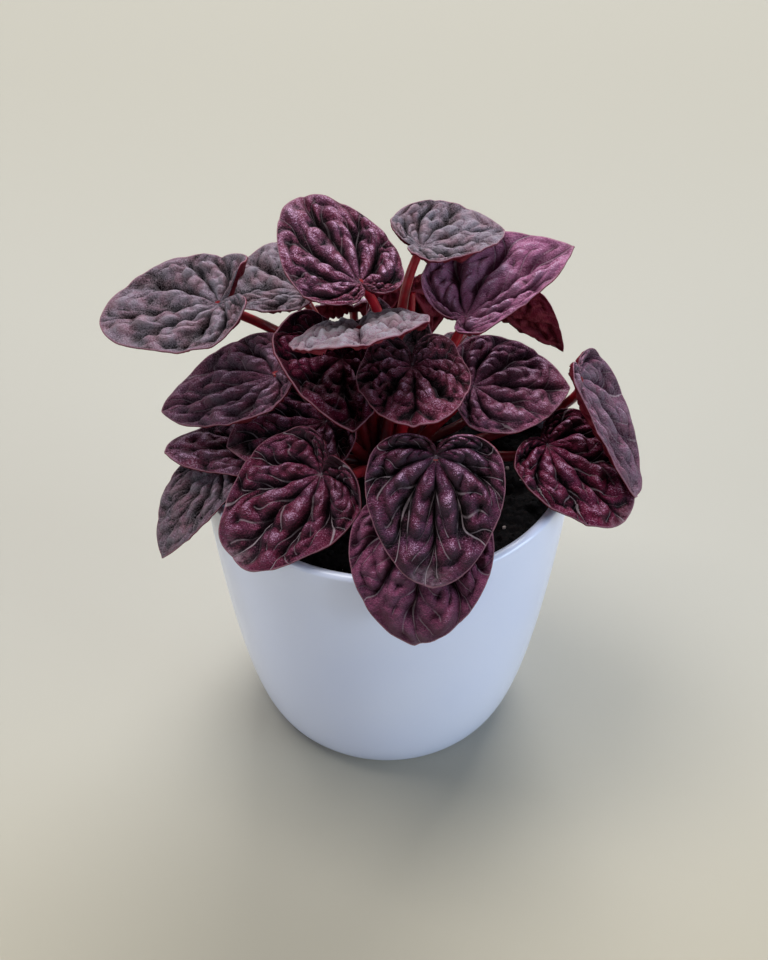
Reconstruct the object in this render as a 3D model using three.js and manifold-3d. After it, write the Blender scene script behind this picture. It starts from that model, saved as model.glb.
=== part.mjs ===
// A ripple peperomia (Peperomia caperata, dark red form) in its white glazed pot.
// Millimetres, +Z up. The origin is the middle of the pot's base, and the side
// that the plant leans its front leaves over is -Y.
//
// The pot, the soil, the crown with its petioles and every leaf blade are
// bodies of their own. A blade is a heart-shaped sheet: curved veins run from
// the petiole to the margin and lie in grooves, and the sheet bulges up in a
// ridge between each pair of veins.

import * as THREE from 'three';
import { mergeVertices } from 'three/addons/utils/BufferGeometryUtils.js';
import Module from 'manifold-3d';

// Pot
const POT_HEIGHT = 120;
const RIM_RADIUS = 65;
const BASE_RADIUS = 44;
const POT_WALL = 3.6;
const POT_FLOOR = 6;
const POT_SIDES = 48;

// Soil, with a plain hole that the crown stands in
const SOIL_TOP = 109;
const SOIL_SIDES = 32;
const HOLE_RADIUS = 12.3;
const HOLE_FLOOR = 88;

// Crown and petioles
const CROWN_RADIUS = 12;
const CROWN_TOP = 117;
const PETIOLE_RADIUS = 1.7;
const YOUNG_PETIOLE_RADIUS = 1.1;
const PETIOLE_SIDES = 6;
const PETIOLE_STEPS = 6;

// Blades
const BLADE_THICKNESS = 0.9;
const RIPPLE = 0.045; // height of a ridge above the mean sheet, in blade lengths or widths
const GAP = 0.3; // left between bodies that rest on each other

// Spokes of a blade: degrees from the tip, how far the margin is from the
// petiole in blade lengths, and whether a vein's groove (-1) or a ridge (+1)
// runs along the spoke.
const SPOKE_ANGLE = [0, 11, 24, 40, 56, 76, 96, 118, 140, 160, 180];
const SPOKE_REACH = [1, 0.9, 0.8, 0.7, 0.62, 0.54, 0.47, 0.38, 0.28, 0.18, 0.06];
const SPOKE_RIPPLE = [-1, 1, -1, 1, -1, 1, -1, 0.8, -0.6, 0.2, 0];
const SPOKE_CURL = [0, 0, 0, 0, 0, 0, 0, 0, 0.35, 1, 0]; // share of a curled lobe's lift
const SPOKE_BLUNT = [-0.03, 0.05, 0.035, 0, 0, 0, 0, 0, 0, 0, 0]; // added where the tip is blunt
const WIDEST = 1.04; // full width of that outline, in blade lengths

// Rings of a blade: share of the way out to the margin, and how much of the
// ripple's height is left there.
const RINGS = [0.28, 0.55, 0.8, 1];
const RING_RIPPLE = [0.75, 1, 0.8, 0.2];

const degrees = THREE.MathUtils.degToRad;
const wasm = await Module();
wasm.setup();

// Every blade: where the petiole meets it, the compass direction that its tip
// points in, how far it pitches down, its roll, its length and width. cup lifts
// both flanks, droop bends the tip half down, lobes lifts the two lobes behind
// the petiole, back scales their length, left widens the left half against the
// right one, blunt rounds the tip; curlLeft and curlRight turn up the edge of
// one lobe beside the petiole; rise and via are the control points of a petiole
// that bends round a neighbour on its way up.
const LEAVES = [
  { name: 'blade_front_centre', at: [15, -44, 155], heading: -92, pitch: 42, roll: 0,
    length: 42, width: 43, droop: 8, lobes: 0.12, back: 0.6, blunt: 0.6, curlRight: 0.05 },
  { name: 'blade_front_overhang', at: [11.5, -53, 135], heading: -97, pitch: 24, roll: 0,
    length: 42, width: 45, droop: 60, blunt: 0.3 },
  { name: 'blade_front_left', at: [-21.5, -34, 138], heading: -147, pitch: 25, roll: -10,
    length: 41, width: 44, droop: 10, cup: 0.05, lobes: 0.2, back: 0.85, blunt: 1.2,
    curlLeft: 0.13 },
  { name: 'blade_left_middle', at: [-38, 0, 151], heading: 176, pitch: 20, roll: -8,
    length: 44, width: 38, droop: 10, cup: 0.1, rise: [-2, 8, 150], via: [-18, 8, 155] },
  { name: 'blade_left_high', at: [-55, 5, 177], heading: 180, pitch: 6, roll: -8,
    length: 41, width: 43, droop: 10, cup: 0.1, lobes: 0.2, back: 1.3, blunt: 0.6,
    curlRight: 0.15, rise: [-14, 28, 144], via: [-47, 31, 149] },
  { name: 'blade_left_back', at: [-30, 30, 164], heading: 172, pitch: 2, roll: -6,
    length: 32, width: 34, droop: 20, cup: 0.1, left: 0.7 },
  { name: 'blade_top_centre', at: [-9, 2, 188], heading: 116, pitch: -14, roll: 0,
    length: 45, width: 37, droop: 12, cup: 0.05, left: 1.12, blunt: 0.8,
    rise: [4, 10, 140], via: [0, 12, 170] },
  { name: 'blade_top_right', at: [11, 20, 189], heading: 24, pitch: -6, roll: 0,
    length: 31, width: 33, droop: 20, cup: 0.3, lobes: 0.2 },
  { name: 'blade_right_high', at: [26, 7, 170.5], heading: 33, pitch: -17, roll: 4,
    length: 45, width: 34, droop: 5, cup: 0.25, lobes: 0.1, back: 0.6, left: 1.3 },
  { name: 'blade_right_back', at: [36, 38, 151], heading: -8, pitch: 32, roll: -60,
    length: 32, width: 26, cup: 0.5, rise: [10, 8, 144], via: [28, 28, 150] },
  { name: 'blade_centre_upturned', at: [-9, -9, 178], heading: -88, pitch: -30, roll: 10,
    length: 38, width: 44, rise: [6, 8, 140], via: [1, 11, 166] },
  { name: 'blade_centre_left', at: [-15, 2, 157], heading: -84, pitch: 0, roll: -10,
    length: 37, width: 38, cup: 0.35, lobes: 0.28, back: 1.2, left: 0.7 },
  { name: 'blade_centre_round', at: [8, -12, 165], heading: -88, pitch: -6, roll: 0,
    length: 34, width: 36, lobes: 0.15, back: 1.5, blunt: 1 },
  { name: 'blade_right_middle', at: [29, 0, 146.5], heading: 3, pitch: 0, roll: 12,
    length: 33, width: 41, droop: 10, cup: 0.05 },
  { name: 'blade_left_low', at: [-41, -9, 127.9], heading: 188, pitch: -2, roll: 6,
    length: 35, width: 32, blunt: 0.5 },
  { name: 'blade_left_overhang', at: [-56, -18, 124.4], heading: 218, pitch: 18, roll: 8,
    length: 37, width: 28, droop: 46, lobes: 0, back: 0.6, left: 0.9,
    rise: [-20, -14, 122], via: [-44, -22, 117] },
  { name: 'blade_front_left_inner', at: [-21, -8, 137.6], heading: 192, pitch: 8, roll: -12,
    length: 34, width: 40, back: 1.3 },
  { name: 'blade_right_low', at: [53.5, -15.5, 134], heading: -37, pitch: 27, roll: 3,
    length: 37, width: 40, cup: 0.15, lobes: 0.05, back: 0.7, left: 0.98, blunt: 0.8 },
  { name: 'blade_right_hanging', at: [63, -6.6, 155], heading: -45, pitch: 50, roll: -25,
    length: 46, width: 25, cup: 0.15, back: 0.5, left: 1.2, blunt: 1,
    rise: [36, 6, 120], via: [72, 8, 130] },
  { name: 'blade_back_hanging', at: [8, 32, 162], heading: 105, pitch: 78, roll: 0,
    length: 34, width: 30, back: 0.8 },
  { name: 'blade_back_middle', at: [-12, 45, 144], heading: 95, pitch: 35, roll: 0,
    length: 38, width: 38 },
  { name: 'blade_back_left_low', at: [-30, 24, 133], heading: 141, pitch: -10, roll: 1,
    length: 36, width: 33, droop: 70, rise: [-14, 11, 118], via: [-25, 20, 123] },
  { name: 'blade_back_centre_low', at: [8, 28, 124], heading: 72, pitch: 8, roll: 0,
    length: 24, width: 22 },
  { name: 'blade_back_right_low', at: [28, 26, 133], heading: 50, pitch: -10, roll: 0,
    length: 38, width: 34, droop: 75 },
  { name: 'blade_right_inner_low', at: [31, 15, 123], heading: 22, pitch: 8, roll: 0,
    length: 24, width: 16 },
  { name: 'blade_left_inner_low', at: [-33.4, 19, 124.2], heading: 162, pitch: 4, roll: 0,
    length: 22, width: 16 },
  { name: 'young_blade_right', at: [11, 5, 155], heading: 60, pitch: -75, roll: 0,
    length: 14, width: 12, cup: 0.6, young: true },
  { name: 'young_blade_back', at: [-2, 18, 150], heading: 95, pitch: -50, roll: 0,
    length: 16, width: 13, cup: 0.5, young: true },
];

// Takes a three.js geometry to one closed body: shared corners merged, and
// triangles with no area left out.
function closedBody(geometry) {
  geometry.deleteAttribute('normal');
  geometry.deleteAttribute('uv');
  const merged = mergeVertices(geometry, 1e-4);
  const source = merged.index.array;
  const kept = [];
  for (let i = 0; i < source.length; i += 3) {
    const [a, b, c] = [source[i], source[i + 1], source[i + 2]];
    if (a !== b && b !== c && c !== a) kept.push(a, b, c);
  }
  merged.setIndex(kept);
  return merged;
}

function toSolid(geometry) {
  return new wasm.Manifold(new wasm.Mesh({
    numProp: 3,
    vertProperties: new Float32Array(geometry.attributes.position.array),
    triVerts: new Uint32Array(geometry.index.array),
  }));
}

function toGeometry(solid) {
  const mesh = solid.getMesh();
  const geometry = new THREE.BufferGeometry();
  const positions = new Float32Array(mesh.vertProperties);
  geometry.setAttribute('position', new THREE.BufferAttribute(positions, 3));
  geometry.setIndex(new THREE.BufferAttribute(new Uint32Array(mesh.triVerts), 1));
  return geometry;
}

// Turns a profile of [radius, height] points about the Z axis.
function turned(profile, sides) {
  const points = profile.map(([radius, height]) => new THREE.Vector2(radius, height));
  const geometry = new THREE.LatheGeometry(points, sides);
  geometry.rotateX(Math.PI / 2);
  return closedBody(geometry);
}

// Radius of the pot's outside at a height: a rounded foot, then a wall that
// grows steeper towards the rim.
function potRadius(height) {
  const s = height / POT_HEIGHT;
  const curve = Math.pow(1 - Math.pow(1 - s, 1.18), 1 / 1.98);
  return BASE_RADIUS + (RIM_RADIUS - BASE_RADIUS) * curve;
}

function potGeometry() {
  const profile = [[0, 0], [BASE_RADIUS, 0]];
  for (let i = 1; i <= 9; i += 1) {
    const height = (POT_HEIGHT - 1.6) * Math.pow(i / 9, 2);
    profile.push([potRadius(height), height]);
  }
  const outer = RIM_RADIUS;
  const inner = RIM_RADIUS - POT_WALL;
  profile.push([outer - 0.5, POT_HEIGHT - 0.4]);
  profile.push([outer - 1.5, POT_HEIGHT]);
  profile.push([inner + 1.2, POT_HEIGHT]);
  profile.push([inner + 0.3, POT_HEIGHT - 0.5]);
  profile.push([potRadius(POT_HEIGHT - 2) - POT_WALL, POT_HEIGHT - 2]);
  for (let i = 5; i >= 1; i -= 1) {
    const height = POT_FLOOR + 4 + (POT_HEIGHT - 22) * Math.pow(i / 5.6, 2);
    profile.push([potRadius(height) - POT_WALL, height]);
  }
  profile.push([potRadius(POT_FLOOR) - POT_WALL - 2, POT_FLOOR]);
  profile.push([0, POT_FLOOR]);
  return turned(profile, POT_SIDES);
}

function soilGeometry() {
  const profile = [[0, POT_FLOOR + GAP], [potRadius(POT_FLOOR) - POT_WALL - 3, POT_FLOOR + GAP]];
  for (let i = 1; i <= 6; i += 1) {
    const height = POT_FLOOR + 6 + (SOIL_TOP - POT_FLOOR - 9) * Math.pow(i / 6, 2);
    profile.push([potRadius(height) - POT_WALL - 0.8, height]);
  }
  const edge = potRadius(SOIL_TOP) - POT_WALL - 0.8;
  for (const share of [0.985, 0.9, 0.78, 0.64, 0.5, 0.36]) {
    profile.push([edge * share, SOIL_TOP - 2.4 * Math.pow(share, 6)]);
  }
  profile.push([HOLE_RADIUS, SOIL_TOP]);
  profile.push([HOLE_RADIUS, HOLE_FLOOR]);
  profile.push([0, HOLE_FLOOR]);
  const geometry = turned(profile, SOIL_SIDES);
  const corner = geometry.attributes.position;
  for (let i = 0; i < corner.count; i += 1) {
    const [x, y, z] = [corner.getX(i), corner.getY(i), corner.getZ(i)];
    if (z > SOIL_TOP - 2.5) {
      const lumps = 0.6 * Math.sin(0.31 * x + 1.3) * Math.cos(0.27 * y) + 0.5 * Math.sin(0.43 * y - 0.2 * x);
      corner.setZ(i, z + lumps);
    }
  }
  return geometry;
}

// The frame of a blade: along its midrib, to its left, and out of its face.
function bladeFrame(leaf) {
  const heading = degrees(leaf.heading);
  const pitch = degrees(leaf.pitch);
  const roll = degrees(leaf.roll);
  const along = new THREE.Vector3(
    Math.cos(heading) * Math.cos(pitch),
    Math.sin(heading) * Math.cos(pitch),
    -Math.sin(pitch),
  );
  const level = new THREE.Vector3(-Math.sin(heading), Math.cos(heading), 0);
  const above = new THREE.Vector3().crossVectors(along, level);
  const left = level.clone().multiplyScalar(Math.cos(roll)).addScaledVector(above, Math.sin(roll));
  const face = new THREE.Vector3().crossVectors(along, left);
  return { along, left, face };
}

// Height of a blade's ridges: a narrow blade is rippled less deeply, unless it
// is young and still folded.
function rippleHeight(leaf) {
  return RIPPLE * (leaf.young ? leaf.length : Math.min(leaf.length, leaf.width));
}

// One point of a blade's middle sheet. side is +1 on the left half and -1 on
// the right half; share is how far out it lies on the way to the margin.
function bladePoint(leaf, frame, spoke, side, share, shareRipple) {
  const { length, width, cup = 0, droop = 0, lobes = 0.1, back = 1, left = 1 } = leaf;
  const { blunt = 0, curlLeft = 0, curlRight = 0 } = leaf;
  const angle = degrees(SPOKE_ANGLE[spoke]);
  const behind = THREE.MathUtils.smoothstep(SPOKE_ANGLE[spoke], 90, 160);
  const outline = SPOKE_REACH[spoke] + SPOKE_BLUNT[spoke] * blunt;
  const reach = outline * length * (1 + (back - 1) * behind);

  // A vein leaves the petiole wider than it ends, and bends towards the tip.
  const start = angle + degrees(30) * Math.sin(angle);
  const bend = 2 * share * (1 - share) * 0.45;
  const across = width / (WIDEST * length) * (side > 0 ? left : 2 - left);
  let u = reach * (bend * Math.cos(start) + share * share * Math.cos(angle));
  const v = side * across * reach * (bend * Math.sin(start) + share * share * Math.sin(angle));

  let rise = SPOKE_RIPPLE[spoke] * shareRipple * rippleHeight(leaf);
  rise += 0.5 * cup * length * Math.pow(Math.abs(v) / (width / 2), 1.6);
  rise += lobes * length * Math.pow(Math.max(0, -u / length) / 0.28, 1.3);
  rise += (side > 0 ? curlLeft : curlRight) * length * SPOKE_CURL[spoke] * Math.pow(share, 1.5);

  // The tip half follows an arc that droops.
  if (u > 0 && droop > 0) {
    const curl = degrees(droop) / length;
    const turn = curl * u;
    u = Math.sin(turn) / curl + rise * Math.sin(turn);
    rise = (Math.cos(turn) - 1) / curl + rise * Math.cos(turn);
  }
  return new THREE.Vector3(...leaf.at)
    .addScaledVector(frame.along, u)
    .addScaledVector(frame.left, v)
    .addScaledVector(frame.face, rise);
}

// A blade as one closed sheet of even thickness. Both faces share the same
// triangles, so they stay apart however strongly the sheet is rippled.
function bladeGeometry(leaf, thickness) {
  const frame = bladeFrame(leaf);
  const last = SPOKE_ANGLE.length - 1;
  const spokes = [];
  for (let i = 0; i <= last; i += 1) spokes.push([i, 1]);
  for (let i = last - 1; i > 0; i -= 1) spokes.push([i, -1]);

  const centre = new THREE.Vector3(...leaf.at)
    .addScaledVector(frame.face, -0.3 * rippleHeight(leaf));
  const points = [centre];
  RINGS.forEach((share, ring) => {
    for (const [spoke, side] of spokes) {
      points.push(bladePoint(leaf, frame, spoke, side, share, RING_RIPPLE[ring]));
    }
  });

  const count = spokes.length;
  const corner = (ring, i) => 1 + ring * count + (i % count);
  const triangles = [];
  for (let i = 0; i < count; i += 1) {
    triangles.push([0, corner(0, i), corner(0, i + 1)]);
    for (let ring = 0; ring < RINGS.length - 1; ring += 1) {
      const [a, b] = [corner(ring, i), corner(ring, i + 1)];
      const [c, d] = [corner(ring + 1, i + 1), corner(ring + 1, i)];
      triangles.push([a, d, c], [a, c, b]);
    }
  }

  const sheet = new THREE.BufferGeometry().setFromPoints(points);
  sheet.setIndex(triangles.flat());
  sheet.computeVertexNormals();
  const normal = new THREE.Vector3();
  const offset = (i, distance) => {
    normal.fromBufferAttribute(sheet.attributes.normal, i);
    return points[i].clone().addScaledVector(normal, distance);
  };
  const top = points.map((_, i) => offset(i, thickness / 2));
  const underside = points.map((_, i) => offset(i, -thickness / 2));
  const below = points.length;
  const index = triangles.flat();
  for (const [a, b, c] of triangles) index.push(below + a, below + c, below + b);
  for (let i = 0; i < count; i += 1) {
    const [a, b] = [corner(RINGS.length - 1, i), corner(RINGS.length - 1, i + 1)];
    index.push(a, below + a, below + b, a, below + b, b);
  }
  const geometry = new THREE.BufferGeometry().setFromPoints([...top, ...underside]);
  geometry.setIndex(index);
  return geometry;
}

// A petiole rises out of the crown and arches to the underside of its blade.
function petioleSolid(leaf) {
  const { along, face } = bladeFrame(leaf);
  const depth = 0.3 * rippleHeight(leaf) + BLADE_THICKNESS / 2 + GAP;
  const end = new THREE.Vector3(...leaf.at).addScaledVector(face, -depth);
  const outward = Math.atan2(leaf.at[1], leaf.at[0]);
  const start = new THREE.Vector3(5.5 * Math.cos(outward), 5.5 * Math.sin(outward), CROWN_TOP - 7);
  const span = end.clone().sub(start);
  const reach = span.length();
  const rising = start.clone().addScaledVector(span, 0.35);
  rising.z += 0.16 * reach;
  const arrival = new THREE.Vector3(0.45 * along.x, 0.45 * along.y, 0.85).normalize();
  const below = end.clone().addScaledVector(arrival, -0.3 * reach);
  if (leaf.rise) rising.set(...leaf.rise);
  if (leaf.via) below.set(...leaf.via);
  const path = new THREE.CubicBezierCurve3(start, rising, below, end);

  const radius = leaf.young ? YOUNG_PETIOLE_RADIUS : PETIOLE_RADIUS;
  const section = new THREE.Shape();
  for (let i = 0; i < PETIOLE_SIDES; i += 1) {
    const angle = (2 * Math.PI * i) / PETIOLE_SIDES;
    const [x, y] = [radius * Math.cos(angle), radius * Math.sin(angle)];
    if (i === 0) section.moveTo(x, y);
    else section.lineTo(x, y);
  }
  section.closePath();
  const tube = new THREE.ExtrudeGeometry(section, { steps: PETIOLE_STEPS, extrudePath: path });
  const blade = toSolid(bladeGeometry(leaf, BLADE_THICKNESS + 2 * GAP));
  const pieces = toSolid(closedBody(tube)).subtract(blade).decompose();
  return pieces.reduce((best, piece) => (piece.volume() > best.volume() ? piece : best));
}

// The crown is the short fleshy stem that all petioles grow from.
function crownGeometry() {
  const profile = [
    [0, HOLE_FLOOR + GAP],
    [8, HOLE_FLOOR + GAP],
    [10.5, HOLE_FLOOR + 4],
    [CROWN_RADIUS, SOIL_TOP - 7],
    [CROWN_RADIUS, SOIL_TOP + 1],
    [10.5, CROWN_TOP - 4],
    [6, CROWN_TOP - 1],
    [0, CROWN_TOP],
  ];
  let crown = toSolid(turned(profile, 18));
  for (const leaf of LEAVES) crown = crown.add(petioleSolid(leaf));
  return toGeometry(crown);
}

const glaze = new THREE.MeshStandardMaterial({ color: 0xe6e9f2, roughness: 0.2, metalness: 0 });
const soil = new THREE.MeshStandardMaterial({ color: 0x17141a, roughness: 1, metalness: 0 });
const stalk = new THREE.MeshStandardMaterial({ color: 0x8a1020, roughness: 0.35, metalness: 0 });
const leafSkin = new THREE.MeshStandardMaterial({ color: 0x4a2034, roughness: 0.45, metalness: 0 });
const youngSkin = new THREE.MeshStandardMaterial({ color: 0x33101c, roughness: 0.45, metalness: 0 });

const plant = new THREE.Group();

function place(name, geometry, material) {
  const mesh = new THREE.Mesh(geometry, material);
  mesh.name = name;
  plant.add(mesh);
}

place('pot', potGeometry(), glaze);
place('potting_soil', soilGeometry(), soil);
place('crown_with_petioles', crownGeometry(), stalk);
for (const leaf of LEAVES) {
  place(leaf.name, bladeGeometry(leaf, BLADE_THICKNESS), leaf.young ? youngSkin : leafSkin);
}

export default plant;
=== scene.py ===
# %% [markdown]
# # A ripple peperomia in its white glazed pot
#
# The imported model brings the pot, the soil, the crown with its petioles and 28 leaf blades as plain
# solids. This lesson dresses them: every blade gets its puckered skin and pale veins, the petioles
# become round and juicy, the soil turns to crumbs with perlite, and the pot gets its glaze. First the
# packed model is loaded.

# %% Load the imported model
import math
import random

import bpy
import numpy as np
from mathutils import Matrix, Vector, noise


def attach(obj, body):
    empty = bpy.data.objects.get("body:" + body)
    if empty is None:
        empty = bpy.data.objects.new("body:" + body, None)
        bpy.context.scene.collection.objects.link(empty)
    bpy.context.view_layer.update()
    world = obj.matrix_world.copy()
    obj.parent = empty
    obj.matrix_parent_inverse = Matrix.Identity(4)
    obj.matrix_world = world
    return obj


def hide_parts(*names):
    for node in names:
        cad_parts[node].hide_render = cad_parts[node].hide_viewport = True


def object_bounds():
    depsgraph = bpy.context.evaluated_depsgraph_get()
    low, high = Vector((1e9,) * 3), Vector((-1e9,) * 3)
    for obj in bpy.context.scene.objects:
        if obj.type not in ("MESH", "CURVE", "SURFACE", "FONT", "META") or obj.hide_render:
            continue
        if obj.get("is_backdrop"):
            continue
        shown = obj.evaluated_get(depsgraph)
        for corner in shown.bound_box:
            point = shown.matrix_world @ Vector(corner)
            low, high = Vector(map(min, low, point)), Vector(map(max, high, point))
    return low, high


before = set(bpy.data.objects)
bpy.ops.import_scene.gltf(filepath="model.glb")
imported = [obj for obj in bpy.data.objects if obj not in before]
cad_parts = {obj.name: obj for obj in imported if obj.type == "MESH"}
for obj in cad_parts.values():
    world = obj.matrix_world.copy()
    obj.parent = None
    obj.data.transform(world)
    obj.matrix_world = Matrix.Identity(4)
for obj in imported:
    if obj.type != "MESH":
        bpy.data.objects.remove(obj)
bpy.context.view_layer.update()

MM = 0.001

# %% [markdown]
# ## Small helpers
#
# Operators act on whatever is selected, and a freshly loaded model is selected all over. So each step
# starts with nothing selected. A finished piece has its place in its mesh, rides on the one body of this
# part, gets its material, and hides the imported solids that it stands for.

# %% Selecting and finishing pieces
def select_only(*objects):
    if bpy.context.object and bpy.context.object.mode != "OBJECT":
        bpy.ops.object.mode_set(mode="OBJECT")
    bpy.ops.object.select_all(action="DESELECT")
    for item in objects:
        item.select_set(True)
    if objects:
        bpy.context.view_layer.objects.active = objects[0]


def finish_piece(piece, name, material, replaced=()):
    select_only(piece)
    bpy.ops.object.transform_apply(location=True, rotation=True, scale=True)
    bpy.ops.object.shade_smooth()
    piece.name = name
    piece.data.name = name
    piece.data.materials.clear()
    piece.data.materials.append(material)
    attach(piece, "root")
    if replaced:
        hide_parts(*replaced)
    return piece


def read_points(mesh):
    points = np.empty(len(mesh.vertices) * 3)
    mesh.vertices.foreach_get("co", points)
    return points.reshape(-1, 3)


def write_points(mesh, points):
    mesh.vertices.foreach_set("co", np.ascontiguousarray(points, dtype=np.float32).ravel())
    mesh.update()


# %% [markdown]
# ## Helpers for materials
#
# A material here is a small graph of nodes. Written out socket by socket it
# would fill pages, so a few short helpers add a node with its inputs in one
# line. An input may be a number, a colour or the output of an earlier node.

# %% Nodes in one line
def add_node(tree, kind, inputs=None, **settings):
    made = tree.nodes.new(kind)
    for key, value in settings.items():
        setattr(made, key, value)
    for key, value in (inputs or {}).items():
        if isinstance(value, bpy.types.NodeSocket):
            tree.links.new(value, made.inputs[key])
        else:
            made.inputs[key].default_value = value
    return made


def calc(tree, operation, *values):
    made = add_node(tree, "ShaderNodeMath", dict(enumerate(values)), operation=operation)
    return made.outputs[0]


def remap(tree, value, low, high, to_low=0.0, to_high=1.0, smooth=False):
    made = add_node(
        tree, "ShaderNodeMapRange",
        {"Value": value, "From Min": low, "From Max": high, "To Min": to_low, "To Max": to_high},
        interpolation_type="SMOOTHSTEP" if smooth else "LINEAR",
    )
    return made.outputs["Result"]


def blend_colours(tree, share, first, second):
    made = add_node(tree, "ShaderNodeMix", data_type="RGBA")
    for index, value in ((0, share), (6, first), (7, second)):
        if isinstance(value, bpy.types.NodeSocket):
            tree.links.new(value, made.inputs[index])
        elif index:
            made.inputs[index].default_value = (*value, 1.0)
        else:
            made.inputs[index].default_value = value
    return made.outputs[2]


def new_material(name):
    material = bpy.data.materials.new(name)
    material.use_nodes = True
    tree = material.node_tree
    tree.nodes.clear()
    shader = add_node(tree, "ShaderNodeBsdfPrincipled")
    output = add_node(tree, "ShaderNodeOutputMaterial", {"Surface": shader.outputs[0]})
    output.location = (300, 0)
    return material, tree, shader


def grain(tree, size_mm, detail=2.0, roughness=0.5):
    """A noise from 0 to 1, fixed to the piece, with lumps of about this size."""
    place = add_node(tree, "ShaderNodeTexCoord").outputs["Object"]
    made = add_node(
        tree, "ShaderNodeTexNoise",
        {"Vector": place, "Scale": 1 / (size_mm * MM), "Detail": detail, "Roughness": roughness},
    )
    return made.outputs["Fac"]


def add_bump(tree, shader, height, distance_mm, strength):
    made = add_node(tree, "ShaderNodeBump",
                    {"Height": height, "Distance": distance_mm * MM, "Strength": strength})
    tree.links.new(made.outputs[0], shader.inputs["Normal"])
    return made.outputs[0]


# %% [markdown]
# ## Camera
#
# The plant is seen from the front and from well above, about 43 degrees, as
# someone standing at a table sees it. A 60 mm lens from a little over half a
# metre keeps the pot's rim round without pulling it apart.

# %% Place the camera
TARGET = Vector((-1.15, 0.0, 102.99)) * MM
ELEVATION = math.radians(43.55)
DISTANCE = 566.45 * MM
LENS_MM = 60
SENSOR_MM = 36

select_only()
bpy.ops.object.camera_add(
    location=TARGET + DISTANCE * Vector((0, -math.cos(ELEVATION), math.sin(ELEVATION))),
    rotation=(math.pi / 2 - ELEVATION, 0, 0),
)
camera = bpy.context.object
camera.data.lens = LENS_MM
camera.data.sensor_width = SENSOR_MM
camera.data.clip_start = 20 * MM
bpy.context.scene.camera = camera
print("camera at, mm:", [round(x / MM) for x in camera.location])

# %% [markdown]
# ## Floor and light
#
# The light is that of a bright day indoors. A large soft source high behind the
# plant draws the sheen on the leaves' ridges, and a smaller one hangs over it.
# A cool one from the right lights the pot, a weak one from the left opens its
# shadows, and a pale sky all round is brighter behind than in front. Soft
# sources were chosen over a sun because glaze and leaves would show its glare.
#
# The floor is a plain pale sheet, wide enough that its end is seen only from
# very low. It is a little warmer in front of the pot than behind it.

# %% A plain pale floor
FLOOR_SIZE = 20
FRONT_BAND = (-0.18, 0.06)
BACK_BAND = (0.12, 0.50)
FLOOR_FAR = (0.418, 0.398, 0.335)
FLOOR_MIDDLE = (0.446, 0.430, 0.376)
FLOOR_NEAR = (0.428, 0.392, 0.306)

select_only()
bpy.ops.mesh.primitive_plane_add(size=FLOOR_SIZE)
floor = bpy.context.object
floor.name = "floor"
paper, tree, shader = new_material("pale_paper")
place = add_node(tree, "ShaderNodeTexCoord").outputs["Object"]
away = add_node(tree, "ShaderNodeSeparateXYZ", {0: place}).outputs["Y"]
tone = blend_colours(tree, remap(tree, away, *FRONT_BAND, smooth=True), FLOOR_NEAR, FLOOR_MIDDLE)
tone = blend_colours(tree, remap(tree, away, *BACK_BAND, smooth=True), tone, FLOOR_FAR)
tree.links.new(tone, shader.inputs["Base Color"])
shader.inputs["Roughness"].default_value = 0.9
floor.data.materials.append(paper)
floor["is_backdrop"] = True


# %% Soft lights
SKY = (0.93, 0.96, 1.0, 1)
SKY_IN_FRONT = 0.09
SKY_BEHIND = 0.30


def soft_light(name, place, size, power, colour):
    """A square lamp turned to the plant: place and size in metres, power in watts."""
    select_only()
    bpy.ops.object.light_add(type="AREA", location=place)
    lamp = bpy.context.object
    lamp.name = name
    lamp.data.size = size
    lamp.data.energy = power
    lamp.data.color = colour
    towards = TARGET - Vector(place)
    lamp.rotation_euler = towards.to_track_quat("-Z", "Y").to_euler()


soft_light("window_behind", (0.6, 2.4, 2.0), 2.2, 94, (0.97, 0.98, 1.0))
soft_light("window_above", (-0.6, 0.2, 2.2), 1.2, 34, (1.0, 0.98, 0.97))
soft_light("fill_right", (2.0, -0.9, 0.45), 1.2, 36, (0.72, 0.85, 1.0))
soft_light("fill_left", (-2.0, -1.2, 0.60), 1.2, 15, (0.84, 0.90, 1.0))

world = bpy.data.worlds.new("bright_room")
bpy.context.scene.world = world
world.use_nodes = True
tree = world.node_tree
tree.nodes.clear()
direction = add_node(tree, "ShaderNodeTexCoord").outputs["Generated"]
backward = add_node(tree, "ShaderNodeSeparateXYZ", {0: direction}).outputs["Y"]
strength = remap(tree, backward, -0.6, 0.9, SKY_IN_FRONT, SKY_BEHIND, smooth=True)
sky = add_node(tree, "ShaderNodeBackground", {"Color": SKY, "Strength": strength})
add_node(tree, "ShaderNodeOutputWorld", {"Surface": sky.outputs[0]})
bpy.context.scene.view_settings.view_transform = "Standard"

# %% [markdown]
# ## The blades: their plan
#
# A ripple peperomia's leaf is heart-shaped. Veins start together at the
# petiole, swing outwards and bend back towards the tip. Each lies in a sharp
# groove, and the skin between two veins swells up in a round ridge.
#
# Such a leaf is easiest to plan as a wheel: a spoke runs along each vein and
# each ridge, and rings lie between the petiole and the margin. The plan gives a
# point for every spoke number q (0 at the tip, 10 at the notch, negative on the
# right half) and every share s of the way out. The table holds each leaf's own
# place and pose, in millimetres and degrees, the same values that shaped the
# solids. Some leaves are cupped or drooping, have a blunt tip or a curled lobe.
#
# Four values of finish follow, in the order of the table: the grey wax with a painted sheen in it, the
# strength of the vein lines, how red the skin is, where a value above one also lays a painted shade of
# deep red on it, and how light the skin is. The hidden leaves at the back take the plain values and,
# with fine=False, fewer faces.

# %% Spokes and the table of blades
SPOKE_ANGLE = [0, 11, 24, 40, 56, 76, 96, 118, 140, 160, 180]
SPOKE_REACH = [1, 0.9, 0.8, 0.7, 0.62, 0.54, 0.47, 0.38, 0.28, 0.18, 0.06]
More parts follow.
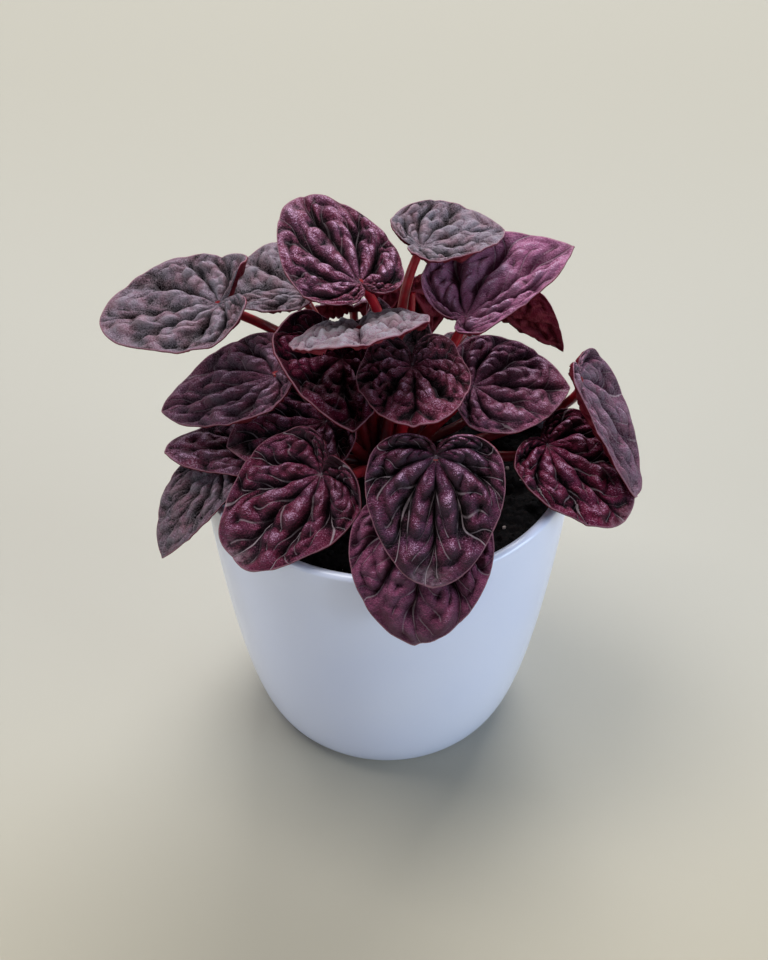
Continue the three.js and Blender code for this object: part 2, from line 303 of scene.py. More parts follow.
# How much each spoke takes part in a curled lobe and in a blunt tip.
SPOKE_CURL = [0, 0, 0, 0, 0, 0, 0, 0, 0.35, 1, 0]
SPOKE_BLUNT = [-0.03, 0.05, 0.035, 0, 0, 0, 0, 0, 0, 0, 0]
WIDEST = 1.04
RING_SHARE = [0, 0.28, 0.55, 0.8, 1]
RING_RIPPLE = [0.3, 0.75, 1, 0.8, 0.2]
RIPPLE = 0.045
SHEET = 0.62
CENTRE_DEPTH = 0.3 * RIPPLE


def blade(name, at, heading, pitch, roll, length, width, **more):
    values = dict(cup=0, droop=0, lobes=0.1, back=1, left=1, blunt=0, curl_left=0, curl_right=0,
                  bloom=0.3, silver=0.4, crimson=0.5, pale=0, fine=True, young=False,
                  rise=None, via=None)
    values.update(name=name, at=np.array(at, float), heading=heading, pitch=pitch, roll=roll,
                  length=length, width=width, **more)
    return values


BLADES = [
    blade("blade_front_centre", (15, -44, 155), -92, 42, 0, 42, 43, droop=8, lobes=0.12, back=0.6,
          blunt=0.6, curl_right=0.05, bloom=0.12, silver=1, crimson=0.3),
    blade("blade_front_overhang", (11.5, -53, 135), -97, 24, 0, 42, 45, droop=60, blunt=0.3,
          bloom=0.16, silver=0.6, crimson=1, pale=0.4),
    blade("blade_front_left", (-21.5, -34, 138), -147, 25, -10, 41, 44, droop=10, cup=0.05, lobes=0.2,
          back=0.85, blunt=1.2, curl_left=0.13, bloom=0.1, silver=0.9, crimson=0.85, pale=0.05),
    blade("blade_left_middle", (-38, 0, 151), 176, 20, -8, 44, 38, droop=10, cup=0.1,
          rise=(-2, 8, 150), via=(-18, 8, 155), bloom=0.32, silver=0.5, crimson=0.5, pale=0.2),
    blade("blade_left_high", (-55, 5, 177), 180, 6, -8, 41, 43, droop=10, cup=0.1, lobes=0.2, back=1.3,
          blunt=0.6, curl_right=0.15, rise=(-14, 28, 144), via=(-47, 31, 149),
          bloom=0.72, silver=0.2, crimson=0.3),
    blade("blade_left_back", (-30, 30, 164), 172, 2, -6, 32, 34, droop=20, cup=0.1, left=0.7,
          bloom=0.85, silver=0.15, crimson=0.3),
    blade("blade_top_centre", (-9, 2, 188), 116, -14, 0, 45, 37, droop=12, cup=0.05, left=1.12,
          blunt=0.8, rise=(4, 10, 140), via=(0, 12, 170), bloom=0.12, silver=0.35, crimson=0.6),
    blade("blade_top_right", (11, 20, 189), 24, -6, 0, 31, 33, droop=20, cup=0.3, lobes=0.2,
          bloom=0.8, silver=0.15, crimson=0.2),
    blade("blade_right_high", (26, 7, 170.5), 33, -17, 4, 45, 34, droop=5, cup=0.25, lobes=0.1, back=0.6,
          left=1.3, bloom=0.35, silver=0.6, crimson=0.1, pale=1),
    blade("blade_right_back", (36, 38, 151), -8, 32, -60, 32, 26, cup=0.5,
          rise=(10, 8, 144), via=(28, 28, 150), bloom=0.4, silver=0.3, crimson=0.6),
    blade("blade_centre_upturned", (-9, -9, 178), -88, -30, 10, 38, 44,
          rise=(6, 8, 140), via=(1, 11, 166), bloom=1.0, silver=0.5, crimson=0.9, pale=0.5),
    # The next two leaves lie under other leaves: a redness above one paints their shade.
    blade("blade_centre_left", (-15, 2, 157), -84, 0, -10, 37, 38, cup=0.35, lobes=0.28, back=1.2,
          left=0.7, bloom=0.02, silver=0.2, crimson=1.4),
    blade("blade_centre_round", (8, -12, 165), -88, -6, 0, 34, 36, lobes=0.15, back=1.5, blunt=1,
          bloom=0.1, silver=0.2, crimson=1.15),
    blade("blade_right_middle", (29, 0, 146.5), 3, 0, 12, 33, 41, droop=10, cup=0.05,
          bloom=0.18, silver=0.4, crimson=0.8, pale=0.2),
    blade("blade_left_low", (-41, -9, 127.9), 188, -2, 6, 35, 32, blunt=0.5,
          bloom=0.2, silver=0.3, crimson=0.6),
    blade("blade_left_overhang", (-56, -18, 124.4), 218, 18, 8, 37, 28, droop=46, lobes=0, back=0.6,
          left=0.9, rise=(-20, -14, 122), via=(-44, -22, 117), bloom=0.6, silver=0.4, crimson=0.4),
    blade("blade_front_left_inner", (-21, -8, 137.6), 192, 8, -12, 34, 40, back=1.3,
          bloom=0.1, silver=0.7, crimson=0.9),
    blade("blade_right_low", (53.5, -15.5, 134), -37, 27, 3, 37, 40, cup=0.15, lobes=0.05, back=0.7,
          left=0.98, blunt=0.8, bloom=0.05, silver=0.7, crimson=0.9),
    blade("blade_right_hanging", (63, -6.6, 155), -45, 50, -25, 46, 25, cup=0.15, back=0.5, left=1.2,
          blunt=1, rise=(36, 6, 120), via=(72, 8, 130), bloom=0.45, silver=0.7, crimson=0.6, pale=0.35),
    blade("blade_back_hanging", (8, 32, 162), 105, 78, 0, 34, 30, back=0.8),
    blade("blade_back_middle", (-12, 45, 144), 95, 35, 0, 38, 38),
    blade("blade_back_left_low", (-30, 24, 133), 141, -10, 1, 36, 33, droop=70,
          rise=(-14, 11, 118), via=(-25, 20, 123), fine=False),
    blade("blade_back_centre_low", (8, 28, 124), 72, 8, 0, 24, 22, fine=False),
    blade("blade_back_right_low", (28, 26, 133), 50, -10, 0, 38, 34, droop=75, fine=False),
    blade("blade_right_inner_low", (31, 15, 123), 22, 8, 0, 24, 16, fine=False),
    blade("blade_left_inner_low", (-33.4, 19, 124.2), 162, 4, 0, 22, 16, fine=False),
    blade("young_blade_right", (11, 5, 155), 60, -75, 0, 14, 12, cup=0.6, fine=False, young=True),
    blade("young_blade_back", (-2, 18, 150), 95, -50, 0, 16, 13, cup=0.5, fine=False, young=True),
]
print("blades in the table:", len(BLADES))


# %% The frame of a blade, and a smooth way between two spokes
TIP_SLOPE = 0.45


def blade_frame(leaf):
    heading, pitch, roll = (math.radians(leaf[key]) for key in ("heading", "pitch", "roll"))
    along = np.array([math.cos(heading) * math.cos(pitch), math.sin(heading) * math.cos(pitch),
                      -math.sin(pitch)])
    level = np.array([-math.sin(heading), math.cos(heading), 0])
    above = np.cross(along, level)
    left = level * math.cos(roll) + above * math.sin(roll)
    return along, left, np.cross(along, left)


def ripple_size(leaf):
    """What a ridge's height is a share of: a narrow blade is rippled less deeply."""
    return leaf["length"] if leaf["young"] else min(leaf["length"], leaf["width"])


def between(values, q):
    """A smooth curve through values at q = 0, 1, 2 ..., so that no spoke shows as a corner."""
    values = np.asarray(values, float)
    slope = np.gradient(values)
    slope[0] *= TIP_SLOPE
    k = np.clip(q.astype(int), 0, len(values) - 2)
    t = q - k
    first = (1 + 2 * t) * (1 - t) ** 2 * values[k] + t * (1 - t) ** 2 * slope[k]
    return first + t * t * (3 - 2 * t) * values[k + 1] + t * t * (t - 1) * slope[k + 1]


def ease(value, low, high):
    t = np.clip((value - low) / (high - low), 0, 1)
    return t * t * (3 - 2 * t)


# %% [markdown]
# ## The blades: veins and ridges
#
# The main veins are the even spokes. From each, smaller veins branch off and
# cross the ridge towards the margin, and split it into cushions. A branch
# starts on a main vein and ends within the ridge, so it needs only four
# numbers. The same four lines serve every gap between two main veins, moved a
# little from gap to gap.
#
# The skin's height and the pale vein lines both follow this one plan. The
# height is worked out here, point by point. The lines are drawn later by the
# material, which reads the plan from the mesh's UV map, so they stay sharp
# however coarse the mesh is. A wiggle that differs from leaf to leaf is put
# into the UV map, and so it bends grooves and lines alike.

# %% Where the veins lie
# Each branch: spoke and share where it starts, spoke and share where it ends.
BRANCHES = [
    (0.0, 0.30, 1.05, 0.72),
    (0.0, 0.54, 0.95, 0.90),
    (0.0, 0.74, 0.70, 1.00),
    (2.0, 0.46, 1.40, 0.86),
]
GAP_SHIFT = (0.07, 2.1, 1.0)
SPOKE_WIDTH = 7.5
BLADE_REACH = 34.0
BRANCH_NARROWING = 0.85
LAST_BRANCH = 7.6
BRANCH_FADING = 2.5
CHANNEL = 0.09
RIDGE_FULLNESS = 3.6
CUSHION_TURNS = 6.0


def branch_distance(q, s):
    """Millimetres to the nearest branch vein."""
    gap = np.floor(q / 2)
    across = q - 2 * gap
    out = s + GAP_SHIFT[0] * np.sin(GAP_SHIFT[1] * gap + GAP_SHIFT[2])
    nearest = np.full(q.shape, 99.0)
    for q0, s0, q1, s1 in BRANCHES:
        line = q0 + (q1 - q0) * np.clip((out - s0) / (s1 - s0), 0, 1)
        past = (out - np.clip(out, s0, s1)) * BLADE_REACH
        aside = (across - line) * s * SPOKE_WIDTH * BRANCH_NARROWING
        nearest = np.minimum(nearest, np.sqrt(past ** 2 + aside ** 2))
    return nearest + BRANCH_FADING * np.maximum(0, q - LAST_BRANCH)


def cushions(q, s, phase):
    """Cross folds that split a ridge into cushions, 0 in a fold and 1 on a cushion."""
    gap = np.floor(q / 2)
    across = q - 2 * gap
    turn = CUSHION_TURNS * s ** 0.9 + 0.45 * np.abs(across - 1) + 0.37 * gap * gap + phase
    return np.abs(np.sin(math.pi * turn)) ** 0.5


def skin_height(q, s):
    """The rippled skin, from -1 in a groove to 1 on a ridge, before its size is given."""
    beside = 1 - np.abs(np.mod(q, 2) - 1)
    groove = np.interp(q, [0, 2, 4, 6, 8, 10], [-1, -1, -1, -1, -0.6, 0])
    ridge = np.interp(q, [1, 3, 5, 7, 9], [1, 1, 1, 0.8, 0.2])
    crest = 1 - (1 - np.maximum(0, beside - CHANNEL) / (1 - CHANNEL)) ** RIDGE_FULLNESS
    ripple = groove + (ridge - groove) * crest
    ring = between(RING_RIPPLE, np.interp(s, RING_SHARE, range(5)))
    start = ease(s, 0, 0.25)
    return ripple * ring * start - 0.3 * (1 - start)


# %% Shape one blade's middle sheet
COMMON_WIDTH = 42
VEIN_START = math.radians(30)
VEIN_BOW = 0.45
CREASE_DEPTH = 1.5
CREASE_HALF = 0.9
FOLD_HEIGHT = 1.8
FOLD_REST = 0.8


def blade_points(leaf, q, s, wiggle):
    """Points of the sheet, and the tint: its relief as the material reads it."""
    along, left, face = blade_frame(leaf)
    length, width = leaf["length"], leaf["width"]
    half = np.abs(q)
    degrees = between(SPOKE_ANGLE, half)
    angle = np.radians(degrees)
    outline = between(SPOKE_REACH, half) + between(SPOKE_BLUNT, half) * leaf["blunt"]
    reach = outline * length * (1 + (leaf["back"] - 1) * ease(degrees, 90, 160))

    start = angle + VEIN_START * np.sin(angle)
    bend = 2 * s * (1 - s) * VEIN_BOW
    across = width / (WIDEST * length) * np.where(q > 0, leaf["left"], 2 - leaf["left"])
    across = np.where(q == 0, width / (WIDEST * length), across)
    u = reach * (bend * np.cos(start) + s * s * np.cos(angle))
    v = np.sign(q) * across * reach * (bend * np.sin(start) + s * s * np.sin(angle))

    vein_q, vein_s = wiggle
    narrow = ripple_size(leaf)
    size = narrow / COMMON_WIDTH
    height = skin_height(np.abs(vein_q), vein_s)
    rise = height * RIPPLE * narrow
    crease = branch_distance(np.abs(vein_q), vein_s)
    fade = ease(s, 0.08, 0.30) * (1 - 0.8 * ease(s, 0.9, 1))
    rise -= CREASE_DEPTH * size * fade * np.exp(-(crease / CREASE_HALF) ** 1.4)
    beside = 1 - np.abs(np.mod(vein_q, 2) - 1)
    fold = (cushions(np.abs(vein_q), vein_s, leaf["phase"]) - FOLD_REST) * ease(beside, 0.15, 0.8)
    rise += FOLD_HEIGHT * size * fade * fold
    tint = height - 1.3 * np.exp(-crease ** 2) + fade * (1.7 * fold + 0.45 * leaf["pucker"])
    rise += leaf["pucker"] * size * fade
    rise += 0.5 * leaf["cup"] * length * (np.abs(v) / (width / 2)) ** 1.6
    rise += leaf["lobes"] * length * (np.maximum(0, -u / length) / 0.28) ** 1.3
    curl_up = np.where(q > 0, leaf["curl_left"], leaf["curl_right"])
    rise += curl_up * length * between(SPOKE_CURL, half) * s ** 1.5

    if leaf["droop"]:
        curl = math.radians(leaf["droop"]) / length
        turn = curl * np.maximum(0, u)
        bent_u = np.where(u > 0, np.sin(turn) / curl + rise * np.sin(turn), u)
        rise = np.where(u > 0, (np.cos(turn) - 1) / curl + rise * np.cos(turn), rise)
        u = bent_u
    points = leaf["at"] + np.outer(u, along) + np.outer(v, left) + np.outer(rise, face)
    return points, tint


# %% [markdown]
# ## The blades: from a flat grid to a leaf
#
# A grid with one column for each spoke and one row for each ring already has
# the right faces. Its points are moved to where the plan says. The first row
# falls together in the petiole's point and the outer columns meet in the
# notch, so doubles are merged there. Solidify then gives the sheet its
# thickness and a rim. This was chosen over sculpting a disc because the faces
# follow the veins, which keeps the grooves sharp with few faces.

# %% Spokes of the grid, and the puckers between them
LAST_SPOKE = 10
COLUMN_CROWDING = 1.3
ROW_CROWDING = 1.12


def crowd_to_veins(x, columns):
    """Grid columns -1..1 to spokes, closer together beside the grooves."""
    q = np.abs(x) * LAST_SPOKE
    k = np.minimum(np.floor(q), LAST_SPOKE - 1)
    t = q - k
    t = np.where(np.mod(k, 2) == 0, t ** COLUMN_CROWDING, 1 - (1 - t) ** COLUMN_CROWDING)
    return -np.sign(np.round(x * columns)) * (k + t)


def pucker_of(q, s, seed):
    """Small uneven swellings of the skin, in millimetres."""
    turn = q / LAST_SPOKE * math.pi
    x, y = s * np.sin(turn) * 16, s * np.cos(turn) * 22  # half a common blade, mm
    small = [noise.noise(Vector((a * 0.42, b * 0.36, seed))) for a, b in zip(x, y)]
    large = [noise.noise(Vector((a * 0.11, b * 0.11, seed + 9))) for a, b in zip(x, y)]
    return 2.0 * np.array(small) + 1.4 * np.array(large)


def wiggled_plan(leaf, q, s):
    """Where each point lies on the leaf's own plan. It also draws the leaf's puckers."""
    rng = random.Random(leaf["name"])
    phase = [rng.uniform(0, 6.28) for _ in range(4)]
    leaf["phase"] = phase[0]
    sway = 0.32 * np.sin(5.5 * s + phase[0] + 1.3 * q) + 0.18 * np.sin(12 * s + phase[1] - 1.8 * q)
    push = 0.035 * np.sin(2.2 * q + phase[2]) + 0.02 * np.sin(4.1 * q + phase[3])
    closing = 1 - ease(np.abs(q), 8, 10)
    vein_q = q + sway * s * closing
    vein_s = np.clip(s + push * 4 * s * (1 - s) * closing, 0, 1)
    leaf["pucker"] = pucker_of(q, s, rng.uniform(0, 90)) * closing
    return vein_q, vein_s


# %% Build one blade
FINE_GRID = (160, 46)
PLAIN_GRID = (100, 26)


def give_values(mesh, name, values):
    layer = mesh.attributes.new(name, "FLOAT", "POINT")
    layer.data.foreach_set("value", np.asarray(values, dtype=np.float32))


def draw_sheet(leaf):
    """The leaf's middle sheet, with its plan in the UV map."""
    columns, rows = FINE_GRID if leaf["fine"] else PLAIN_GRID
    select_only()
    bpy.ops.mesh.primitive_grid_add(x_subdivisions=columns, y_subdivisions=rows, size=2)
    mesh = bpy.context.object.data
    flat = read_points(mesh)
    q = crowd_to_veins(flat[:, 0], columns)
    s = 1 - (1 - (flat[:, 1] + 1) / 2) ** ROW_CROWDING
    vein_q, vein_s = wiggled_plan(leaf, q, s)
    points, tint = blade_points(leaf, q, s, (vein_q, vein_s))
    write_points(mesh, points * MM)
    give_values(mesh, "skin_height", tint)

    plan = mesh.uv_layers[0]
    plan.name = "vein_plan"
    corner = np.empty(len(mesh.loops), dtype=np.int32)
    mesh.loops.foreach_get("vertex_index", corner)
    uv = np.stack([vein_q / (2 * LAST_SPOKE) + 0.5, vein_s], axis=1)[corner]
    plan.data.foreach_set("uv", uv.astype(np.float32).ravel())
    return bpy.context.object


def build_blade(leaf):
    piece = draw_sheet(leaf)
    bpy.ops.object.mode_set(mode="EDIT")
    bpy.ops.mesh.select_all(action="SELECT")
    bpy.ops.mesh.remove_doubles(threshold=0.002 * MM)
    bpy.ops.object.mode_set(mode="OBJECT")
    sheet_points = len(piece.data.vertices)
    wall = piece.modifiers.new("thickness", "SOLIDIFY")
    wall.thickness = SHEET * MM
    wall.offset = 0
    bpy.ops.object.modifier_apply(modifier="thickness")
    total = len(piece.data.vertices)
    for name in ("bloom", "silver", "crimson", "pale"):
        give_values(piece.data, name, np.full(total, leaf[name]))
    give_values(piece.data, "underside", np.arange(total) >= sheet_points)
    return piece


# %% [markdown]
# ## The skin of a leaf
#
# The upper skin is deep burgundy, purple or crimson on the flanks. Painted shade makes it almost black
# in the grooves and on skin that faces down. Skin that faces up has a painted highlight, a speckled
# lilac sheen. A grey waxy bloom with a painted sheen in it lies over the upper leaves. Pale silver lines
# run in the groove bottoms and a thin pink line round the margin. The underside is a plain dusky red.
#
# Each leaf could be painted by hand, but then 28 leaves would need 28
# paintings. One material serves them all instead. It reads each leaf's own
# values from the mesh and draws the vein lines from the plan in the UV map,
# with the same numbers as the grooves.

# %% Vein lines for the material
def vein_lines(tree):
    """Spoke, share, and millimetres to the nearest main vein and branch."""
    plan = add_node(tree, "ShaderNodeUVMap", uv_map="vein_plan").outputs[0]
    parts = add_node(tree, "ShaderNodeSeparateXYZ", {0: plan})
    signed_q = calc(tree, "MULTIPLY_ADD", parts.outputs[0], 2 * LAST_SPOKE, -LAST_SPOKE)
    q = calc(tree, "ABSOLUTE", signed_q)
    s = parts.outputs[1]
    width = calc(tree, "MULTIPLY", s, SPOKE_WIDTH)
    narrowing = remap(tree, q, 6.5, 9.5, 1.0, 0.3, smooth=True)
    spread = calc(tree, "MULTIPLY", width, narrowing)
    main = calc(tree, "MULTIPLY", calc(tree, "PINGPONG", q, 1.0), spread)

    gap = calc(tree, "FLOOR", calc(tree, "MULTIPLY", q, 0.5))
    across = calc(tree, "MULTIPLY_ADD", gap, -2.0, q)
    turn = calc(tree, "SINE", calc(tree, "MULTIPLY_ADD", gap, GAP_SHIFT[1], GAP_SHIFT[2]))
    out = calc(tree, "MULTIPLY_ADD", turn, GAP_SHIFT[0], s)
    narrow = calc(tree, "MULTIPLY", width, BRANCH_NARROWING)
    branch = None
    for q0, s0, q1, s1 in BRANCHES:
        line = remap(tree, out, s0, s1, q0, q1)
        aside = calc(tree, "MULTIPLY", calc(tree, "SUBTRACT", across, line), narrow)
        held = add_node(tree, "ShaderNodeClamp", {"Value": out, "Min": s0, "Max": s1}).outputs[0]
        past = calc(tree, "MULTIPLY", calc(tree, "SUBTRACT", out, held), BLADE_REACH)
        pair = add_node(tree, "ShaderNodeCombineXYZ", {0: aside, 1: past}).outputs[0]
        away = add_node(tree, "ShaderNodeVectorMath", {0: pair}, operation="LENGTH").outputs["Value"]
        branch = away if branch is None else calc(tree, "MINIMUM", branch, away)
    behind = calc(tree, "MAXIMUM", calc(tree, "SUBTRACT", q, LAST_BRANCH), 0.0)
    branch = calc(tree, "MULTIPLY_ADD", behind, BRANCH_FADING, branch)
    return q, s, main, branch


def value_of(tree, name):
    return add_node(tree, "ShaderNodeAttribute", attribute_name=name).outputs["Fac"]


# %% Colours of the leaf skin
# Painted shade: the near-black colour put in the groove bottoms.
GROOVE_SHADE = (0.0028, 0.0002, 0.0009)
PURPLE = (0.080, 0.0014, 0.0430)
CRIMSON = (0.142, 0.0004, 0.0250)
# Painted shade: a deep red for leaves in the shadow of other leaves.
PAINTED_SHADE_RED = (0.045, 0.0002, 0.0060)
PALE = (0.400, 0.080, 0.225)
# Painted highlight: the lilac sheen put on skin that faces up.
CREST_SHEEN = (0.720, 0.460, 0.680)
# Grey wax with a painted sheen in it, in a cool and a warm tone.
COOL_WAX_SHEEN = (0.240, 0.222, 0.250)
WARM_WAX_SHEEN = (0.232, 0.170, 0.190)
SILVER = (0.36, 0.29, 0.32)
MARGIN = (0.32, 0.150, 0.190)
UNDER = (0.120, 0.010, 0.018)
UNDER_DARK = (0.06, 0.006, 0.016)
UNDER_VEIN = (0.210, 0.035, 0.045)
SHINE_TINT = (1.0, 0.55, 0.95, 1)
PATCH_MM = 6.0
BLOTCH_MM = 2.3
SPECK_MM = 0.50

# %% [markdown]
# ## The skin's fine relief
#
# Swellings too small for the mesh are bump: specks of half a millimetre, like the leaf's cells, blotches
# of two millimetres, and a shallow cut along each vein. More mesh would carry them too, but every leaf
# would need millions of faces. The bump comes first, because the colour needs to know which way the
# bumpy skin faces: what faces up gets a painted lilac sheen, what faces down gets painted shade.

# %% Grain, relief and the way the skin faces
leaf_skin, tree, shader = new_material("rippled_leaf_skin")
q, s, main, branch = vein_lines(tree)
height = value_of(tree, "skin_height")
patch = grain(tree, PATCH_MM, 3.0)
blotch = grain(tree, BLOTCH_MM, 3.0, 0.6)
speck = grain(tree, SPECK_MM, 2.0, 0.6)
specks = calc(tree, "SUBTRACT", speck, 0.5)

vein = calc(tree, "MINIMUM", main, branch)
cut = remap(tree, vein, 0.0, 0.5, 0.0, 1.0, smooth=True)
relief = calc(tree, "MULTIPLY_ADD", speck, 2.4, cut)
relief = calc(tree, "MULTIPLY_ADD", blotch, 4.5, relief)
facing = add_bump(tree, shader, relief, 0.16, 0.85)
upward = add_node(tree, "ShaderNodeSeparateXYZ", {0: facing}).outputs["Z"]

# %% [markdown]
# ## From groove to crest
#
# The colour follows the skin's height, which comes with the mesh and is made uneven by the blotches and
# specks. It starts with painted shade in the grooves, reaches the flank's purple or crimson and ends in
# a painted lilac sheen on the crests that face up. Skin near the notch is redder. Where the redness
# value passes one, a painted shade of deep red stands for the shadow of the leaves above. The painted
# sheen is weaker on redder skin and on that painted shade. The grey wax, with a painted sheen in it, is
# laid over all of them, and thins out towards the grooves.

# %% Flanks, painted shade and sheen, and wax
uneven = calc(tree, "MULTIPLY_ADD", calc(tree, "SUBTRACT", blotch, 0.5), 1.5, height)
speckled_height = calc(tree, "MULTIPLY_ADD", specks, 2.6, uneven)
grainy = calc(tree, "MULTIPLY_ADD", specks, 6.5, uneven)

patchy = calc(tree, "SUBTRACT", patch, 0.5)
red_and_shade_share = calc(tree, "MULTIPLY_ADD", patchy, 1.6, value_of(tree, "crimson"))
red_and_shade_share = calc(tree, "ADD", red_and_shade_share, remap(tree, q, 4.5, 8.5, 0.0, 0.5))
flank = blend_colours(tree, remap(tree, red_and_shade_share, 0.0, 1.0), PURPLE, CRIMSON)
# A redness above one paints shade: the flank turns deep red.
flank = blend_colours(tree, remap(tree, red_and_shade_share, 1.0, 1.7), flank, PAINTED_SHADE_RED)
flank = blend_colours(tree, value_of(tree, "pale"), flank, PALE)
# Painted shade for the grooves, made lighter on pale leaves.
groove = blend_colours(tree, calc(tree, "MULTIPLY", value_of(tree, "pale"), 0.28), GROOVE_SHADE, PALE)

# Painted shade: the skin goes dark in the grooves and where the bumpy skin faces down.
out_of_groove_shade = remap(tree, speckled_height, -0.95, 0.15)
out_of_shade = remap(tree, upward, 0.32, 0.98, 0.12, 1.0)
painted_lit_share = calc(tree, "MULTIPLY", out_of_groove_shade, out_of_shade)
skin = blend_colours(tree, painted_lit_share, groove, flank)
# Painted highlight: a speckled lilac sheen where the bumpy skin faces up, weaker on red skin and on
# painted shade.
painted_sheen = calc(tree, "MULTIPLY_ADD", calc(tree, "SUBTRACT", upward, 0.86), 7.0, grainy)
less_sheen_on_red_and_shade = remap(tree, red_and_shade_share, 0.6, 1.5, 1.0, 0.35)
crest = calc(tree, "MULTIPLY", remap(tree, painted_sheen, 0.90, 2.9), less_sheen_on_red_and_shade)
skin = blend_colours(tree, crest, skin, CREST_SHEEN)
# The wax carries a painted sheen, and it thins out towards the grooves.
wax_with_sheen = blend_colours(tree, remap(tree, patch, 0.42, 0.62), COOL_WAX_SHEEN, WARM_WAX_SHEEN)
thickness = remap(tree, grainy, -2.3, 1.0, 0.0, 1.15)
wax_sheen_share = calc(tree, "MULTIPLY", value_of(tree, "bloom"), thickness)
skin = blend_colours(tree, wax_sheen_share, skin, wax_with_sheen)

# %% [markdown]
# ## Lines and margin
#
# The silver lines lie in the groove bottoms. The main ones are whole, and the
# side ones fade out in patches, as they do on a living leaf. Where the lines
# are clearest, the tip is silvery too. The margin is a thin rim of thickened,
# paler skin.

# %% Lines, tip and margin
silver = value_of(tree, "silver")
broken = remap(tree, patch, 0.42, 0.54, 0.15, 0.9)
line = remap(tree, main, 0.10, 0.27, 1.0, 0.0, smooth=True)
side_line = remap(tree, branch, 0.02, 0.22, 0.75, 0.0, smooth=True)
line = calc(tree, "MAXIMUM", line, calc(tree, "MULTIPLY", side_line, broken))
outward = remap(tree, s, 0.05, 0.25, 0.3, 0.9)
line = calc(tree, "MULTIPLY", calc(tree, "MULTIPLY", line, silver), outward)
skin = blend_colours(tree, line, skin, SILVER)

tip = calc(tree, "MULTIPLY", remap(tree, s, 0.86, 0.98), remap(tree, q, 0.3, 1.1, 1.0, 0.0))
clearest = calc(tree, "MULTIPLY", tip, remap(tree, silver, 0.5, 1.0))
halo = calc(tree, "MULTIPLY", clearest, remap(tree, blotch, 0.40, 0.60, 0.1, 0.7))
skin = blend_colours(tree, halo, skin, SILVER)
skin = blend_colours(tree, remap(tree, s, 0.986, 0.994, 0.0, 0.7), skin, MARGIN)

# %% [markdown]
# ## Underside and shine
#
# The underside is dull red with lighter veins, which stand out below as the grooves sink in above. The
# mesh says which side a point is on. The shine is faint and tinted, as it passes through coloured cells.
# It follows the painted shade, so it is weak in the grooves and on skin that faces down. It is also
# weaker on the reddest skin and on the painted shade of deep red.

# %% Underside and shine
below = blend_colours(tree, remap(tree, vein, 0.2, 0.9, 0.8, 0.0, smooth=True), UNDER, UNDER_VEIN)
below = blend_colours(tree, remap(tree, patch, 0.3, 0.7, 0.0, 0.35), below, UNDER_DARK)
side = remap(tree, value_of(tree, "underside"), 0.35, 0.65)
skin = blend_colours(tree, side, skin, below)
tree.links.new(skin, shader.inputs["Base Color"])

dull = calc(tree, "MULTIPLY_ADD", speck, 0.30, 0.32)
tree.links.new(dull, shader.inputs["Roughness"])
duller_on_red_and_shade = remap(tree, red_and_shade_share, 0.6, 1.3, 1.0, 0.3)
gloss = calc(tree, "MULTIPLY", remap(tree, painted_lit_share, 0.0, 1.0, 0.02, 0.30), duller_on_red_and_shade)
tree.links.new(gloss, shader.inputs["Specular IOR Level"])
shader.inputs["Specular Tint"].default_value = SHINE_TINT
print("nodes in the leaf material:", len(tree.nodes))

# %% Build all blades
faces = 0
for leaf in BLADES:
    piece = build_blade(leaf)
    finish_piece(piece, leaf["name"] + "_skin", leaf_skin, [leaf["name"]])
    faces += sum(len(p.vertices) - 2 for p in piece.data.polygons)
print("triangles in all blades:", faces)

# %% [markdown]
# ## Petioles and crown
#
# All leaf stalks, the petioles, rise from one short crown in the middle of the
# soil. They are round, fleshy and ruby red, thick at the foot and thinner at
# the blade. A Bezier curve with a round bevel is the plainest way to make one:
# four points set its arch, and each end has its own radius. The curves are
# turned into meshes and joined with the crown, a squashed ball with a lumpy
# surface, because they grew as one.

# %% Draw one petiole
CROWN_TOP = 117
FOOT_RING = 5.5
FOOT_DEPTH = 7
PETIOLE_FOOT = 2.15
PETIOLE_NECK = 1.5
YOUNG_SHARE = 0.6
RISING_SPAN = 0.35
RISING_LIFT = 0.16
ARRIVAL_SPAN = 0.3
ARRIVAL_LEAN = 0.45
ARRIVAL_UP = 0.85


def petiole_path(leaf):
    """Four points in millimetres: foot, first handle, last handle and neck."""
    along, _, face = blade_frame(leaf)
    end = leaf["at"] - face * CENTRE_DEPTH * ripple_size(leaf)
    outward = math.atan2(leaf["at"][1], leaf["at"][0])
    start = np.array([FOOT_RING * math.cos(outward), FOOT_RING * math.sin(outward),
                      CROWN_TOP - FOOT_DEPTH])
    span = end - start
    reach = np.linalg.norm(span)
    rising = start + RISING_SPAN * span + np.array([0, 0, RISING_LIFT * reach])
    arrival = np.array([ARRIVAL_LEAN * along[0], ARRIVAL_LEAN * along[1], ARRIVAL_UP])
    below = end - arrival / np.linalg.norm(arrival) * ARRIVAL_SPAN * reach
    if leaf["rise"]:
        rising = np.array(leaf["rise"], float)
    if leaf["via"]:
        below = np.array(leaf["via"], float)
    return start, rising, below, end


def draw_petiole(leaf):
    start, rising, below, end = (Vector(point) * MM for point in petiole_path(leaf))
    select_only()
    bpy.ops.curve.primitive_bezier_curve_add()
    stalk = bpy.context.object
    stalk.data.bevel_depth = MM
    stalk.data.bevel_resolution = 4
    stalk.data.resolution_u = 22
    stalk.data.use_fill_caps = True
    thinner = YOUNG_SHARE if leaf["young"] else 1.0
    first, last = stalk.data.splines[0].bezier_points
    for point in (first, last):
        point.handle_left_type = point.handle_right_type = "FREE"
    first.co, first.handle_right, first.handle_left = start, rising, 2 * start - rising
    last.co, last.handle_left, last.handle_right = end, below, 2 * end - below
    first.radius, last.radius = PETIOLE_FOOT * thinner, PETIOLE_NECK * thinner
    bpy.ops.object.convert(target="MESH")
    return bpy.context.object


